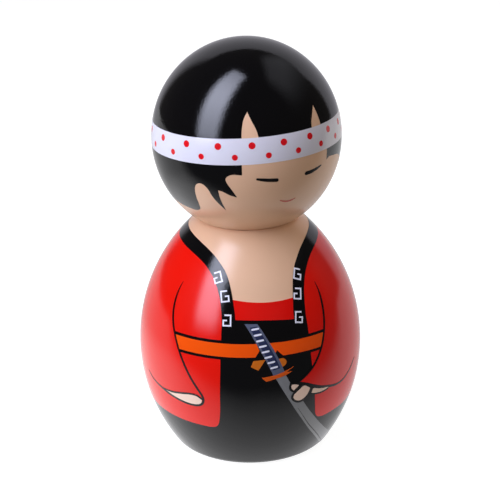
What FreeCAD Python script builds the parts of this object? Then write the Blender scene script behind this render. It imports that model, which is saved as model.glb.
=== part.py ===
"""Kokeshi doll: a lathe-turned wooden body with a turned head that swivels on a neck peg.

The frame's origin is the middle of the underside and +Z is the lathe axis.
The doll's painted front faces -Y.  All lengths are millimetres.
"""
import FreeCAD, Part
import math
import os
import Sketcher

doc = FreeCAD.newDocument("kokeshi_doll")
EDGE_MATCH = 0.01  # an edge this close to a wanted radius and height is the one meant

# ---------------------------------------------------------------- driving dimensions
DIMENSIONS = [
    ("total_height", 130.0, "underside of the felt pad to the crown"),
    ("head_radius", 28.9, "widest radius of the egg-shaped head"),
    ("head_half_height", 29.9, "half the height of the full head egg"),
    ("seam_gap", 0.2, "open joint between body rim and head"),
    ("body_radius", 35.4, "widest radius of the body"),
    ("body_widest_height", 32.4, "height of the widest place"),
    ("body_flank_radius", 55.95, "radius of the single arc that makes the flank"),
    ("neck_seat_height", 75.0, "top face of the body, where the head sits"),
    ("foot_height", 0.6, "felt pad standing proud of the wooden base"),
    ("edge_round", 0.8, "rounding of the base edge"),
    ("rim_round", 0.35, "rounding of the two rims at the neck"),
    ("peg_radius", 6.0, "neck peg"),
    ("peg_clearance", 0.05, "running clearance of the peg in the body"),
    ("peg_tail", 0.3, "peg standing below the shoulder, so the washer never clamps"),
    ("peg_grip", 16.0, "length of peg glued into the head"),
    ("glue_space", 0.5, "room above the peg in the head's socket"),
    ("shoulder_height", 50.0, "inner shoulder that the retaining washer hooks under"),
    ("relief_radius", 13.0, "bore from below that keeps the thick wood from splitting"),
    ("plug_radius", 15.0, "wooden plug that closes the relief bore"),
    ("plug_thickness", 6.0, "same plug"),
    ("end_chamfer", 0.5, "bevelled top edge of the plug and of the peg"),
    ("pad_radius", 22.0, "felt pad under the base"),
    ("pad_thickness", 1.4, "same pad"),
    ("pad_margin", 0.2, "gap round the pad in its recess"),
    ("collar_radius", 13.0, "felt collar between body and head"),
    ("collar_thickness", 0.5, "same collar"),
    ("collar_recess", 0.4, "depth that the collar is let into the body"),
    ("collar_margin", 0.2, "gap round the collar in its recess"),
    ("collar_hole", 6.6, "hole radius of the collar"),
    ("washer_radius", 10.0, "retaining washer on the peg's lower end"),
    ("washer_thickness", 1.2, "same washer"),
    ("washer_hole", 2.1, "hole radius of the same washer"),
    ("screw_radius", 1.75, "shank of the retaining screw"),
    ("screw_length", 18.0, "screw below its head"),
    ("screw_tip", 3.0, "pointed end of the screw"),
    ("screw_head_radius", 3.6, "pan head"),
    ("screw_head_height", 2.4, "pan head"),
    ("screw_head_round", 0.9, "rounded edge of the pan head"),
    ("slot_width", 0.9, "driver slot"),
    ("slot_depth", 1.1, "driver slot"),
]

sheet = doc.addObject("Spreadsheet::Sheet", "Dimensions")
for row, (alias, value, meaning) in enumerate(DIMENSIONS, start=1):
    sheet.set(f"A{row}", alias.replace("_", " "))
    sheet.set(f"B{row}", str(value))
    sheet.set(f"C{row}", meaning)
    sheet.setAlias(f"B{row}", alias)
doc.recompute()


def size(alias):
    """A driving dimension, written as an expression."""
    return f"Dimensions.{alias}"


def number(expression):
    """The present value of an expression, for a sketch's starting geometry."""
    return float(sheet.evalExpression(expression))


# ---------------------------------------------------------------- derived places
HEAD_CENTRE = f"({size('total_height')} - {size('head_half_height')})"
HEAD_SEAT = f"({size('neck_seat_height')} + {size('seam_gap')})"
SHOULDER = size("shoulder_height")
RECESS_TOP = size("pad_thickness")
PLUG_TOP = f"({RECESS_TOP} + {size('plug_thickness')})"
BORE_RADIUS = f"({size('peg_radius')} + {size('peg_clearance')})"
COLLAR_FLOOR = f"({size('neck_seat_height')} - {size('collar_recess')})"
PEG_BOTTOM = f"({SHOULDER} - {size('peg_tail')})"
PEG_TOP = f"({HEAD_SEAT} + {size('peg_grip')})"
WASHER_BOTTOM = f"({PEG_BOTTOM} - {size('washer_thickness')})"
SCREW_FOOT = f"({WASHER_BOTTOM} - {size('screw_head_height')})"
SCREW_END = f"({WASHER_BOTTOM} + {size('screw_length')})"


def flank_radius(height):
    """Radius of the body's outer arc at a height."""
    arc = size("body_flank_radius")
    rise = f"({height} - {size('body_widest_height')})"
    return f"({size('body_radius')} - {arc} + sqrt({arc}^2 - {rise}^2))"


def egg_radius(height):
    """Radius of the head's outer ellipse at a height."""
    rise = f"({height} - {HEAD_CENTRE})"
    return f"({size('head_radius')} * sqrt(1 - ({rise} / {size('head_half_height')})^2))"


# ---------------------------------------------------------------- lathe work
def origin_plane(body, role):
    return next(part for part in body.Origin.OriginFeatures if part.Role == role)


def new_sketch(body, name, role):
    sketch = body.newObject("Sketcher::SketchObject", name)
    sketch.AttachmentSupport = [(origin_plane(body, role), "")]
    sketch.MapMode = "FlatFace"
    return sketch


def bind(sketch, kind, *references, expression):
    """Add one dimension to a sketch and drive it by an expression."""
    index = sketch.addConstraint(Sketcher.Constraint(kind, *references, number(expression)))
    sketch.setExpression(f"Constraints[{index}]", expression)


def place_corner(sketch, edge, corner, follows_curve):
    """Fix the start of an edge at its (radius, height)."""
    radius, height = corner
    if radius == "0":
        sketch.addConstraint(Sketcher.Constraint("PointOnObject", edge, 1, -2))
    elif not follows_curve:
        bind(sketch, "DistanceX", -1, 1, edge, 1, expression=radius)
    if height == "0":
        sketch.addConstraint(Sketcher.Constraint("PointOnObject", edge, 1, -1))
    else:
        bind(sketch, "DistanceY", -1, 1, edge, 1, expression=height)


def flank_arc(start, end):
    """The body's flank, from base edge to neck rim."""
    radius = number(size("body_flank_radius"))
    centre = FreeCAD.Vector(
        number(size("body_radius")) - radius, number(size("body_widest_height")), 0)
    angles = [math.atan2(point.y - centre.y, point.x - centre.x) for point in (start, end)]
    return Part.ArcOfCircle(Part.Circle(centre, FreeCAD.Vector(0, 0, 1), radius), *angles)


def egg_arc(start):
    """The head's outline, from its rim up to the crown, on an ellipse with an upright long axis."""
    centre = FreeCAD.Vector(0, number(HEAD_CENTRE), 0)
    long_half = number(size("head_half_height"))
    short_half = number(size("head_radius"))
    crown = centre + FreeCAD.Vector(0, long_half, 0)
    left = centre - FreeCAD.Vector(short_half, 0, 0)
    rim_angle = math.atan2(-start.x / short_half, (start.y - centre.y) / long_half)
    return Part.ArcOfEllipse(Part.Ellipse(crown, left, centre), rim_angle, 0.0)


def constrain_egg(sketch, edge):
    """Hold the ellipse upright on the axis, at its height, with its two diameters."""
    long_axis = sketch.GeometryCount
    short_axis = long_axis + 1
    sketch.exposeInternalGeometry(edge)
    sketch.addConstraint(Sketcher.Constraint("PointOnObject", edge, 3, -2))
    sketch.addConstraint(Sketcher.Constraint("Vertical", long_axis))
    bind(sketch, "DistanceY", -1, 1, edge, 3, expression=HEAD_CENTRE)
    bind(sketch, "Distance", long_axis, expression=f"2 * {size('head_half_height')}")
    bind(sketch, "Distance", short_axis, expression=f"2 * {size('head_radius')}")


def turned(label, outline, flank_edge=None, egg_edge=None):
    """A body turned on the lathe: its half outline, listed anticlockwise, spun about +Z."""
    body = doc.addObject("PartDesign::Body", label)
    body.Label = label
    sketch = new_sketch(body, f"{label}_outline", "XZ_Plane")
    points = [FreeCAD.Vector(number(radius), number(height), 0) for radius, height in outline]
    count = len(points)
    for edge in range(count):
        start = points[edge]
        end = points[(edge + 1) % count]
        if edge == flank_edge:
            sketch.addGeometry(flank_arc(start, end))
        elif edge == egg_edge:
            sketch.addGeometry(egg_arc(start))
        else:
            sketch.addGeometry(Part.LineSegment(start, end))
    for edge in range(count):
        sketch.addConstraint(Sketcher.Constraint("Coincident", edge, 2, (edge + 1) % count, 1))
    if flank_edge is not None:
        bind(sketch, "Radius", flank_edge, expression=size("body_flank_radius"))
    if egg_edge is not None:
        constrain_egg(sketch, egg_edge)
    for edge, corner in enumerate(outline):
        on_egg = egg_edge is not None and edge == egg_edge
        crown = egg_edge is not None and edge == egg_edge + 1
        if crown:
            sketch.addConstraint(Sketcher.Constraint("PointOnObject", edge, 1, -2))
        else:
            place_corner(sketch, edge, corner, follows_curve=on_egg)
    spin = body.newObject("PartDesign::Revolution", f"{label}_turning")
    spin.Profile = sketch
    spin.ReferenceAxis = (sketch, ["V_Axis"])
    spin.Angle = 360.0
    doc.recompute()
    return body


def circle_edges(shape, radius, height):
    """Names of the full circles with this radius at this height."""
    names = []
    for index, edge in enumerate(shape.Edges, start=1):
        if edge.Degenerated or not isinstance(edge.Curve, Part.Circle):
            continue
        right_size = abs(edge.Curve.Radius - radius) < EDGE_MATCH
        right_height = abs(edge.Curve.Center.z - height) < EDGE_MATCH
        if right_size and right_height:
            names.append(f"Edge{index}")
    return names


def dress_edge(body, kind, radius, height, alias):
    """Round ("Fillet") or bevel ("Chamfer") one circular edge of a turned body."""
    edges = circle_edges(body.Tip.Shape, number(radius), number(height))
    base = body.Tip
    finish = body.newObject(f"PartDesign::{kind}", f"{body.Label}_{alias}")
    finish.Base = (base, edges)
    finish.setExpression("Radius" if kind == "Fillet" else "Size", size(alias))
    body.Tip = finish
    doc.recompute()


# ---------------------------------------------------------------- the pieces
def make_body():
    """Bored from below for the relief chamber and from above for the peg and collar."""
    foot = size("foot_height")
    seat = size("neck_seat_height")
    recess = f"({size('pad_radius')} + {size('pad_margin')})"
    collar = f"({size('collar_radius')} + {size('collar_margin')})"
    body = turned("turned_body", [
        (recess, foot),
        (flank_radius(foot), foot),
        (flank_radius(seat), seat),
        (collar, seat),
        (collar, COLLAR_FLOOR),
        (BORE_RADIUS, COLLAR_FLOOR),
        (BORE_RADIUS, SHOULDER),
        (size("relief_radius"), SHOULDER),
        (size("relief_radius"), PLUG_TOP),
        (size("plug_radius"), PLUG_TOP),
        (size("plug_radius"), RECESS_TOP),
        (recess, RECESS_TOP),
    ], flank_edge=1)
    dress_edge(body, "Fillet", flank_radius(foot), foot, "edge_round")
    dress_edge(body, "Fillet", flank_radius(seat), seat, "rim_round")


def make_head():
    """An egg cut flat where it sits, with a blind socket for the peg."""
    socket_top = f"({PEG_TOP} + {size('glue_space')})"
    head = turned("turned_head", [
        (size("peg_radius"), HEAD_SEAT),
        (egg_radius(HEAD_SEAT), HEAD_SEAT),
        ("0", size("total_height")),
        ("0", socket_top),
        (size("peg_radius"), socket_top),
    ], egg_edge=1)
    dress_edge(head, "Fillet", egg_radius(HEAD_SEAT), HEAD_SEAT, "rim_round")


def make_neck_peg():
    """Hardwood dowel, drilled from below for the retaining screw."""
    peg = turned("neck_peg", [
        (size("screw_radius"), PEG_BOTTOM),
        (size("peg_radius"), PEG_BOTTOM),
        (size("peg_radius"), PEG_TOP),
        ("0", PEG_TOP),
        ("0", SCREW_END),
        (size("screw_radius"), SCREW_END),
    ])
    dress_edge(peg, "Chamfer", size("peg_radius"), PEG_TOP, "end_chamfer")


def make_neck_collar():
    """Thin felt ring that the head slides on."""
    top = f"({COLLAR_FLOOR} + {size('collar_thickness')})"
    turned("neck_collar", [
        (size("collar_hole"), COLLAR_FLOOR),
        (size("collar_radius"), COLLAR_FLOOR),
        (size("collar_radius"), top),
        (size("collar_hole"), top),
    ])


def make_retaining_washer():
    """Hooks under the body's inner shoulder, so the head can't lift off."""
    turned("retaining_washer", [
        (size("washer_hole"), WASHER_BOTTOM),
        (size("washer_radius"), WASHER_BOTTOM),
        (size("washer_radius"), PEG_BOTTOM),
        (size("washer_hole"), PEG_BOTTOM),
    ])


def make_retaining_screw():
    """Pan-head wood screw driven up into the peg, with a straight driver slot."""
    shank_end = f"({SCREW_END} - {size('screw_tip')})"
    screw = turned("retaining_screw", [
        ("0", SCREW_FOOT),
        (size("screw_head_radius"), SCREW_FOOT),
        (size("screw_head_radius"), WASHER_BOTTOM),
        (size("screw_radius"), WASHER_BOTTOM),
        (size("screw_radius"), shank_end),
        ("0", SCREW_END),
    ])
    dress_edge(screw, "Fillet", size("screw_head_radius"), SCREW_FOOT, "screw_head_round")
    sketch = new_sketch(screw, "driver_slot_outline", "XZ_Plane")
    half = f"({size('slot_width')} / 2)"
    low = f"({SCREW_FOOT} - {size('slot_depth')})"
    high = f"({SCREW_FOOT} + {size('slot_depth')})"
    corners = [(f"-{half}", low), (half, low), (half, high), (f"-{half}", high)]
    points = [FreeCAD.Vector(number(across), number(up), 0) for across, up in corners]
    for edge in range(4):
        sketch.addGeometry(Part.LineSegment(points[edge], points[(edge + 1) % 4]))
    for edge in range(4):
        sketch.addConstraint(Sketcher.Constraint("Coincident", edge, 2, (edge + 1) % 4, 1))
        bind(sketch, "DistanceX", -1, 1, edge, 1, expression=corners[edge][0])
        bind(sketch, "DistanceY", -1, 1, edge, 1, expression=corners[edge][1])
    volume_before = screw.Shape.Volume
    slot = screw.newObject("PartDesign::Pocket", "driver_slot")
    slot.Profile = sketch
    slot.Midplane = True
    right_across = f"2 * ({size('screw_head_radius')} + {size('slot_width')})"
    slot.setExpression("Length", right_across)
    screw.Tip = slot
    doc.recompute()
    if screw.Shape.Volume >= volume_before:
        raise RuntimeError("the driver slot cut nothing")


def make_base_plug():
    """Wooden disc glued into the mouth of the relief bore."""
    plug = turned("base_plug", [
        ("0", RECESS_TOP),
        (size("plug_radius"), RECESS_TOP),
        (size("plug_radius"), PLUG_TOP),
        ("0", PLUG_TOP),
    ])
    dress_edge(plug, "Chamfer", size("plug_radius"), PLUG_TOP, "end_chamfer")


def make_base_pad():
    """Felt disc that the doll stands on."""
    turned("base_pad", [
        ("0", "0"),
        (size("pad_radius"), "0"),
        (size("pad_radius"), size("pad_thickness")),
        ("0", size("pad_thickness")),
    ])


make_body()
make_head()
make_neck_peg()
make_neck_collar()
make_retaining_washer()
make_retaining_screw()
make_base_plug()
make_base_pad()
doc.recompute()

# ---------------------------------------------------------------- checks and files
for item in doc.Objects:
    if "Invalid" in item.State or "Error" in item.State:
        raise RuntimeError(f"{item.Name} failed: {item.State}")

pieces = [item for item in doc.Objects if item.TypeId == "PartDesign::Body"]
os.makedirs("parts", exist_ok=True)
for piece in pieces:
    shape = piece.Shape
    if shape.isNull() or not shape.isValid():
        raise RuntimeError(f"{piece.Label} has no valid shape")
    if len(shape.Solids) != 1:
        raise RuntimeError(f"{piece.Label} is not one solid")
    shape.exportStep(os.path.join("parts", f"{piece.Label}.step"))
    box = shape.BoundBox
    print(f"{piece.Label:18s} volume {shape.Volume:10.1f} mm3   z {box.ZMin:7.2f} to {box.ZMax:7.2f}"
          f"   radius {box.XMax:6.2f}")
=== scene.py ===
import math

import bmesh
import bpy
import numpy as np
from mathutils import Matrix, Vector, kdtree
from mathutils.geometry import delaunay_2d_cdt


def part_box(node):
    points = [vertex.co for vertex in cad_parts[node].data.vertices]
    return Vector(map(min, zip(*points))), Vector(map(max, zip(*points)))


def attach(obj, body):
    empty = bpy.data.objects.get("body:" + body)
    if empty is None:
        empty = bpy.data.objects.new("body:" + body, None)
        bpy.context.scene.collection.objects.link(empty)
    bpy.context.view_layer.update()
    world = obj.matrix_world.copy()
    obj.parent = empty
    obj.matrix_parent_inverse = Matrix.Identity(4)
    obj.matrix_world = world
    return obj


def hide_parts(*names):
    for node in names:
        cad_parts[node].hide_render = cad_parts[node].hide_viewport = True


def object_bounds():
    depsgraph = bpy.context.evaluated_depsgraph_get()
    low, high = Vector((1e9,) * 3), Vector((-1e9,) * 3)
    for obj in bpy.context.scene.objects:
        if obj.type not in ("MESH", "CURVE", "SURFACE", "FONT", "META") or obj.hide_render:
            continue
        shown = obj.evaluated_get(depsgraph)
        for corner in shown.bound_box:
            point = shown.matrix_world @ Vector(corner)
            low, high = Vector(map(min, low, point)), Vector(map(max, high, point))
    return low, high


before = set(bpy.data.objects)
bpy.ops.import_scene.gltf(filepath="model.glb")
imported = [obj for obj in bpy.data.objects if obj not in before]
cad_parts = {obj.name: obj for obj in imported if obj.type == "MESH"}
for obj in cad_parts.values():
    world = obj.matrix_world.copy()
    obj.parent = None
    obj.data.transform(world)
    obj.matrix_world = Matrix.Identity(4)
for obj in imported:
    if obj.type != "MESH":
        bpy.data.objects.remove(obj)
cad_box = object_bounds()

# A lacquered kokeshi: two turned and polished wooden forms, painted in flat enamel colours.
# Places on the wood are written as (angle, height): degrees round the lathe axis from the
# body's front, counted towards the doll's left hand, and millimetres above the table.

MM = 0.001

# ------------------------------------------------------------------ sizes taken from the frame
BODY_LOW, BODY_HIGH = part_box("turned_body")
HEAD_LOW, HEAD_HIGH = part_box("turned_head")
PAD_LOW, PAD_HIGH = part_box("base_pad")

WIDEST = BODY_HIGH.x / MM
WIDEST_HEIGHT = 32.4
FLANK_ARC = 55.95
FLANK_CENTRE = WIDEST - FLANK_ARC
FOOT = BODY_LOW.z / MM
NECK_SEAT = BODY_HIGH.z / MM

CROWN = HEAD_HIGH.z / MM
HEAD_SEAT = HEAD_LOW.z / MM
EGG_RADIUS = 28.9
EGG_HALF_HEIGHT = 29.9
EGG_CENTRE = CROWN - EGG_HALF_HEIGHT

PAD_ROOM = 0.2          # the recess in the foot is this much wider than the pad
COLLAR_RADIUS = 13.2    # the recess that the felt collar lies in
COLLAR_DEPTH = 0.4
SKIN_HEIGHT = 54.5      # the body's ground coat changes from black to skin here
STEPS_ROUND = 181

FACE_TURN = 17.2        # the head stands turned this far to the doll's left
BAND_SLOPE = 0.037      # the tied band rides up towards the doll's left
BAND_LEAN = 8.3         # and is lowest this far past the doll's right side
BAND_BOTTOM, BAND_TOP = 99.75, 107.3
FIRST_COAT = 0.03       # the ground coat stands this proud of the turned wood
NEXT_COAT = 0.015       # and every coat over it this much more
BURIED = 0.12           # every film of enamel reaches this far into the wood


# ------------------------------------------------------------------ turned surfaces
class Turning:
    """The outside of a turned form, as a fine profile from its top down."""

    def __init__(self, radii, heights, start):
        steps = np.hypot(np.diff(radii), np.diff(heights))
        self.radii = radii
        self.heights = heights
        self.reach = start + np.concatenate([[0.0], np.cumsum(steps)])
        self.out = -np.gradient(heights, self.reach)
        self.up = np.gradient(radii, self.reach)

    def reach_of(self, height):
        return np.interp(height, self.heights[::-1], self.reach[::-1])

    def radius_at(self, reach):
        return np.interp(reach, self.reach, self.radii)

    def place(self, angle, reach, lift):
        """Points and outward normals for angles in radians; lift stands them off the wood."""
        out = np.interp(reach, self.reach, self.out)
        up = np.interp(reach, self.reach, self.up)
        radius = self.radius_at(reach) + lift * out
        height = np.interp(reach, self.reach, self.heights) + lift * up
        points = np.stack([radius * np.sin(angle), -radius * np.cos(angle), height], axis=1)
        normals = np.stack([out * np.sin(angle), -out * np.cos(angle), up], axis=1)
        return points, normals


def flank_sweep(height):
    """How far up the flank's arc a height is, in radians from its widest place."""
    return math.asin((height - WIDEST_HEIGHT) / FLANK_ARC)


def flank_point(sweep):
    """Radius and height on the flank's arc."""
    return FLANK_CENTRE + FLANK_ARC * np.cos(sweep), WIDEST_HEIGHT + FLANK_ARC * np.sin(sweep)


def egg_sweep(height):
    """How far down the egg a height is, in radians from its crown."""
    return math.acos((height - EGG_CENTRE) / EGG_HALF_HEIGHT)


def egg_point(sweep):
    """Radius and height on the egg."""
    return EGG_RADIUS * np.sin(sweep), EGG_CENTRE + EGG_HALF_HEIGHT * np.cos(sweep)


def flank_turning():
    sweep = np.linspace(flank_sweep(NECK_SEAT - 0.2), flank_sweep(FOOT + 0.5), 1500)
    radii, heights = flank_point(sweep)
    return Turning(radii, heights, radii[0])


def egg_turning():
    sweep = np.linspace(0.0, egg_sweep(HEAD_SEAT + 0.2), 1500)
    radii, heights = egg_point(sweep)
    return Turning(radii, heights, 0.0)


FLANK = flank_turning()
EGG = egg_turning()


# ------------------------------------------------------------------ outlines
def catmull(before, start, end, after, count):
    """Centripetal curve from start to end, with its neighbours as guides; leaves the end out."""
    knots = [0.0]
    for first, second in ((before, start), (start, end), (end, after)):
        knots.append(knots[-1] + max(np.hypot(*(second - first)), 1e-6) ** 0.5)
    t = np.linspace(knots[1], knots[2], count, endpoint=False)[:, None]

    def blend(p, q, a, b):
        return p * (b - t) / (b - a) + q * (t - a) / (b - a)

    a1 = blend(before, start, knots[0], knots[1])
    a2 = blend(start, end, knots[1], knots[2])
    a3 = blend(end, after, knots[2], knots[3])
    b1 = blend(a1, a2, knots[0], knots[2])
    b2 = blend(a2, a3, knots[1], knots[3])
    return blend(b1, b2, knots[1], knots[2])


def run_through(points, closed, spacing=0.4, degree_width=0.55):
    """Dense (angle, height) points on a smooth run; a point marked "sharp" is a corner."""
    sharp = [len(point) > 2 for point in points]
    flat = np.array([(point[0] * degree_width, point[1]) for point in points])
    count = len(flat)
    pieces = []
    for i in range(count if closed else count - 1):
        j = (i + 1) % count
        start, end = flat[i], flat[j]
        at_first = not closed and i == 0
        at_last = not closed and j == count - 1
        before = 2 * start - end if sharp[i] or at_first else flat[i - 1]
        after = 2 * end - start if sharp[j] or at_last else flat[(j + 1) % count]
        samples = max(1, int(math.ceil(np.hypot(*(end - start)) / spacing)))
        pieces.append(catmull(before, start, end, after, samples))
    if not closed:
        pieces.append(flat[-1:])
    dense = np.concatenate(pieces)
    return dense / np.array([degree_width, 1.0])


def shape(*points):
    """A closed outline."""
    return run_through(points, closed=True)


def band_ring(height, count=420):
    """A closed ring round the head that slopes as the tied band does."""
    angles = np.linspace(-180.0, 180.0, count, endpoint=False)
    heights = height + BAND_SLOPE * EGG_RADIUS * np.sin(np.radians(angles + BAND_LEAN))
    return np.stack([angles, heights], axis=1)


def stroke(turning, points, widths, spacing=0.35):
    """The outline of a brush stroke along a smooth run; widths are spread evenly along it."""
    line = run_through(points, closed=False, spacing=spacing)
    angle = np.radians(line[:, 0])
    reach = turning.reach_of(line[:, 1])
    radius = turning.radius_at(reach)
    along_u = np.gradient(angle) * radius
    along_v = np.gradient(reach)
    length = np.hypot(along_u, along_v)
    along_u, along_v = along_u / length, along_v / length
    travelled = np.concatenate([[0.0], np.cumsum(length[1:])])
    half = 0.5 * np.interp(travelled / travelled[-1], np.linspace(0, 1, len(widths)), widths)

    def offset(index, across, ahead):
        du = -along_v[index] * across + along_u[index] * ahead
        dv = along_u[index] * across + along_v[index] * ahead
        return angle[index] + du / radius[index], reach[index] + dv

    last = len(line) - 1
    sides = [offset(i, half[i], 0.0) for i in range(len(line))]
    for turn in np.linspace(0.0, math.pi, 7)[1:-1]:
        sides.append(offset(last, half[last] * math.cos(turn), half[last] * math.sin(turn)))
    sides += [offset(i, -half[i], 0.0) for i in range(last, -1, -1)]
    for turn in np.linspace(0.0, math.pi, 7)[1:-1]:
        sides.append(offset(0, -half[0] * math.cos(turn), -half[0] * math.sin(turn)))
    loop = np.array(sides)
    heights = np.interp(loop[:, 1], turning.reach, turning.heights)
    return np.stack([np.degrees(loop[:, 0]), heights], axis=1)


def corners(*points):
    """A closed outline whose every point is a corner."""
    return run_through([(*point, "sharp") for point in points], closed=True)


def border(turning, loop, width):
    """A closed outline standing outside another by an even width."""
    angle = np.radians(loop[:, 0])
    reach = turning.reach_of(loop[:, 1])
    radius = turning.radius_at(reach)
    across = (np.roll(angle, -1) - np.roll(angle, 1)) * radius
    along = np.roll(reach, -1) - np.roll(reach, 1)
    length = np.hypot(across, along)
    area = np.sum(angle * np.roll(reach, -1) - np.roll(angle, -1) * reach)
    side = width * np.sign(area)
    wider = np.degrees(angle + side * along / length / radius)
    reach = reach - side * across / length
    return np.stack([wider, np.interp(reach, turning.reach, turning.heights)], axis=1)


# ------------------------------------------------------------------ enamel films
def to_sheet(turning, loop):
    """Unroll (angle, height) onto a flat sheet, like an orange skin opened round the top."""
    angle = np.radians(loop[:, 0])
    reach = turning.reach_of(loop[:, 1])
    return np.stack([reach * np.sin(angle), -reach * np.cos(angle)], axis=1)


def inside(points, loops):
    """Which flat points lie within at least one closed loop, by winding number."""
    found = np.zeros(len(points), bool)
    x, y = points[:, 0:1], points[:, 1:2]
    for loop in loops:
        x0, y0 = loop[:, 0], loop[:, 1]
        x1, y1 = np.roll(x0, -1), np.roll(y0, -1)
        spans = (y0 > y) != (y1 > y)
        rise = np.where(y1 == y0, 1.0, y1 - y0)
        at = x0 + (y - y0) * (x1 - x0) / rise
        winding = np.sum(np.where(spans & (x < at), np.sign(y1 - y0), 0.0), axis=1)
        found |= winding != 0
    return found


def filling(turning, loops, holes, edge_points, spacing):
    """Evenly spread points on the painted part, clear of its edges."""
    rows = []
    for row, reach in enumerate(np.arange(turning.reach[0] + 0.5, turning.reach[-1], spacing)):
        count = max(6, int(round(2 * math.pi * turning.radius_at(reach) / spacing)))
        angle = (np.arange(count) + 0.5 * (row % 2)) * 2 * math.pi / count
        rows.append(np.stack([angle, np.full(count, reach)], axis=1))
    polar = np.concatenate(rows)
    flat = np.stack([polar[:, 1] * np.sin(polar[:, 0]), -polar[:, 1] * np.cos(polar[:, 0])], axis=1)
    keep = inside(flat, loops) & ~inside(flat, holes)
    polar, flat = polar[keep], flat[keep]
    tree = kdtree.KDTree(len(edge_points))
    for index, point in enumerate(edge_points):
        tree.insert(point, index)
    tree.balance()
    solid, _ = turning.place(polar[:, 0], polar[:, 1], 0.0)
    clear = np.array([tree.find(point)[2] > 0.45 * spacing for point in solid], bool)
    return flat[clear]


def film(name, turning, loops, coat, material, holes=(), spacing=1.1):
    """A thin closed skin of enamel inside the loops and outside the holes, on the turned form."""
    sheets = [to_sheet(turning, loop) for loop in loops]
    gaps = [to_sheet(turning, loop) for loop in holes]
    edge_flat = np.concatenate(sheets + gaps)
    edge_reach = np.hypot(edge_flat[:, 0], edge_flat[:, 1])
    edge_angle = np.arctan2(edge_flat[:, 0], -edge_flat[:, 1])
    edge_points, _ = turning.place(edge_angle, edge_reach, 0.0)
    fill = filling(turning, sheets, gaps, edge_points, spacing)
    edges = []
    first = 0
    for sheet in sheets + gaps:
        count = len(sheet)
        edges += [(first + i, first + (i + 1) % count) for i in range(count)]
        first += count
    flat = np.concatenate([edge_flat, fill.reshape(-1, 2)])
    result = delaunay_2d_cdt([Vector(point) for point in flat], edges, [], 0, 1e-5)
    flat = np.array([tuple(point) for point in result[0]])
    faces = np.array([face for face in result[2] if len(face) == 3])
    middles = flat[faces].mean(axis=1)
    faces = faces[inside(middles, sheets) & ~inside(middles, gaps)]
    used, faces = np.unique(faces, return_inverse=True)
    faces = faces.reshape(-1, 3)
    flat = flat[used]
    angle = np.arctan2(flat[:, 0], -flat[:, 1])
    reach = np.hypot(flat[:, 0], flat[:, 1])
    top, normals = turning.place(angle, reach, FIRST_COAT + coat * NEXT_COAT)
    bottom, _ = turning.place(angle, reach, -BURIED)
    piece = skin_piece(name, top * MM, bottom * MM, faces, normals, material)
    settle(piece, "head" if turning is EGG else "body")


def skin_piece(name, top, bottom, faces, normals, material):
    """Top and bottom sheets joined by walls, with the turned form's own normals on the top."""
    count = len(top)
    directed = set()
    for a, b, c in faces.tolist():
        directed.update(((a, b), (b, c), (c, a)))
    rim = sorted((a, b) for a, b in directed if (b, a) not in directed)
    polygons = faces.tolist()
    polygons += (faces[:, ::-1] + count).tolist()
    polygons += [(b, a, a + count, b + count) for a, b in rim]
    mesh = bpy.data.meshes.new(name)
    mesh.from_pydata(np.concatenate([top, bottom]).tolist(), [], polygons)
    mesh.update()
    custom = list(map(tuple, normals[faces].reshape(-1, 3)))
    custom += list(map(tuple, -normals[faces[:, ::-1]].reshape(-1, 3)))
    for polygon in mesh.polygons[2 * len(faces):]:
        custom += [tuple(polygon.normal)] * len(polygon.vertices)
    mesh.polygons.foreach_set("use_smooth", [True] * len(mesh.polygons))
    mesh.normals_split_custom_set(custom)
    mesh.materials.append(material)
    return placed(name, mesh)


def settle(piece, body):
    """A painted piece rides on its own turned form."""
    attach(piece, body)


# ------------------------------------------------------------------ node helpers
def put(tree, kind, feeds=None, **settings):
    """Add a node; feeds maps a socket's name or number to a value or another node's output."""
    node = tree.nodes.new(kind)
    for key, value in settings.items():
        setattr(node, key, value)
    for key, value in (feeds or {}).items():
        if isinstance(value, bpy.types.NodeSocket):
            tree.links.new(value, node.inputs[key])
        else:
            node.inputs[key].default_value = value
    return node


def calc(tree, operation, first, second=0.0, third=0.0):
    feeds = {0: first, 1: second, 2: third}
    return put(tree, "ShaderNodeMath", feeds, operation=operation).outputs[0]


def vector_calc(tree, operation, first, second=(0.0, 0.0, 0.0)):
    feeds = {0: first, 1: second}
    return put(tree, "ShaderNodeVectorMath", feeds, operation=operation).outputs[0]


def scaled(tree, vector, factor):
    feeds = {0: vector, "Scale": factor}
    return put(tree, "ShaderNodeVectorMath", feeds, operation="SCALE").outputs[0]


def join_xyz(tree, x, y, z):
    return put(tree, "ShaderNodeCombineXYZ", {0: x, 1: y, 2: z}).outputs[0]


def split_xyz(tree, vector):
    return put(tree, "ShaderNodeSeparateXYZ", {0: vector}).outputs


def position(tree):
    return put(tree, "GeometryNodeInputPosition").outputs[0]


def mixed(tree, factor, first, second):
    """A colour between two others."""
    feeds = {0: factor, 6: first, 7: second}
    return put(tree, "ShaderNodeMix", feeds, data_type="RGBA").outputs[2]


def noise(tree, place, scale, detail, distortion=0.0):
    feeds = {"Vector": place, "Scale": scale, "Detail": detail, "Distortion": distortion}
    return put(tree, "ShaderNodeTexNoise", feeds).outputs["Fac"]


def between(tree, value, start, end, low, high, curve="LINEAR"):
    """A value's way from start to end, turned into the way from low to high."""
    feeds = {0: value, 1: start, 2: end, 3: low, 4: high}
    return put(tree, "ShaderNodeMapRange", feeds, interpolation_type=curve).outputs[0]


def roughened(tree, shader, height, distance):
    """Give a material its fine relief."""
    bump = put(tree, "ShaderNodeBump", {"Height": height, "Distance": distance})
    tree.links.new(bump.outputs[0], shader.inputs["Normal"])


def placed(name, data):
    """A new object in the scene."""
    piece = bpy.data.objects.new(name, data)
    bpy.context.scene.collection.objects.link(piece)
    return piece


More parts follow.
